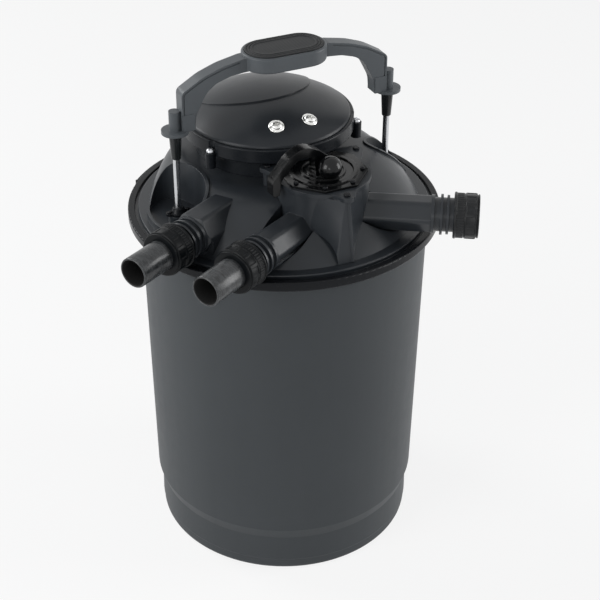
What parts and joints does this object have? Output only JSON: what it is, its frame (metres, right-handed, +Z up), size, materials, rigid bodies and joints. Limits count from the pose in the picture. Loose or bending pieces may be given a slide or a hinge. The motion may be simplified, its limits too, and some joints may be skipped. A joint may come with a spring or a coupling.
{
  "type": "pond pressure filter",
  "caption": "Round pressure canister filter with clamped lid, ultraviolet lamp unit, lever valve, hose ports, capped waste port and a lift handle on rods that squeezes the foams clean.",
  "frame": {"origin": "centre of the underside of the drum", "axes": "+Z up along the axis of the drum, +X from the left handle rod to the right one, -Y towards the valve"},
  "size_m": [0.4488, 0.4075, 0.6753],
  "materials": {
    "drum_plastic": "matte dark grey, finely grained",
    "lid_plastic": "satin dark grey",
    "cover_plastic": "satin dark grey",
    "black_plastic": "satin black",
    "gloss_plastic": "glossy black",
    "white_plastic": "matte white",
    "seal_rubber": "matte black rubber",
    "steel": "brushed stainless steel",
    "rod_steel": "polished stainless steel",
    "nickel": "nickel plated",
    "foam": "open-cell foam",
    "quartz": "clear quartz",
    "lamp_glass": "clear lamp glass"
  },
  "bodies": {
    "canister": {"drum": "drum_plastic", "lid": "lid_plastic", "lid_seal": "seal_rubber", "clamp_band": "black_plastic", "latch_pin": "steel", "lamp_collar": "lid_plastic", "lamp_seal": "seal_rubber", "lamp_cover": "cover_plastic", "cover_screws": "nickel", "lug_screws": "black_plastic", "quartz_sleeve": "quartz", "sleeve_seal": "seal_rubber", "sleeve_nut": "black_plastic", "uv_lamp": "lamp_glass", "lamp_socket": "white_plastic", "ballast": "white_plastic", "gland_screws": "steel", "foam_stack": "foam", "top_grid": "black_plastic", "centre_tube": "black_plastic", "bottom_stand": "black_plastic", "valve_housing": "lid_plastic", "flange_screws": "black_plastic", "valve_cover": "gloss_plastic", "valve_cover_screws": "black_plastic", "inlet_tail": "gloss_plastic", "outlet_tail": "gloss_plastic", "inlet_gasket": "seal_rubber", "outlet_gasket": "seal_rubber", "waste_gasket": "seal_rubber", "waste_blank": "black_plastic", "rod_gland_right": "black_plastic", "rod_gland_left": "black_plastic", "gland_seal_right": "seal_rubber", "gland_seal_left": "seal_rubber"},
    "handle": {"handle_arch": "lid_plastic", "grip_pad": "seal_rubber", "rod_sleeve_left": "lid_plastic", "rod_sleeve_right": "lid_plastic", "handle_rod_left": "rod_steel", "handle_rod_right": "rod_steel", "cleaning_plate": "black_plastic", "rod_nuts": "steel"},
    "valve": {"valve_rotor": "gloss_plastic", "rotor_seals": "seal_rubber", "valve_knob": "gloss_plastic"},
    "inlet_nut": {"inlet_nut": "black_plastic"},
    "outlet_nut": {"outlet_nut": "black_plastic"},
    "waste_cap": {"waste_cap": "black_plastic"},
    "latch_lever": {"latch_lever": "black_plastic"}
  },
  "joints": [
    {"name": "handle_lift", "type": "slide", "parent": "canister", "child": "handle", "axis": [0, 0, 1], "range_m": [0, 0.11], "deforming": ["foam_stack"]},
    {"name": "valve_turn", "type": "hinge", "parent": "canister", "child": "valve", "pos_m": [0.01, -0.088, 0.54], "axis": [0, 0, 1], "range_deg": [-10, 58]},
    {"name": "inlet_nut_turn", "type": "hinge", "parent": "canister", "child": "inlet_nut", "pos_m": [-0.19007, -0.09644, 0.493], "axis": [-0.8746, -0.4848, 0], "continuous": true},
    {"name": "outlet_nut_turn", "type": "hinge", "parent": "canister", "child": "outlet_nut", "pos_m": [-0.13081, -0.16605, 0.493], "axis": [-0.8746, -0.4848, 0], "continuous": true},
    {"name": "waste_cap_turn", "type": "hinge", "parent": "canister", "child": "waste_cap", "pos_m": [0.15743, -0.17659, 0.497], "axis": [0.8572, -0.515, 0], "continuous": true},
    {"name": "latch_open", "type": "hinge", "parent": "canister", "child": "latch_lever", "pos_m": [-0.07391, 0.18293, 0.4587], "axis": [0, 0, -1], "range_deg": [0, 100]}
  ]
}
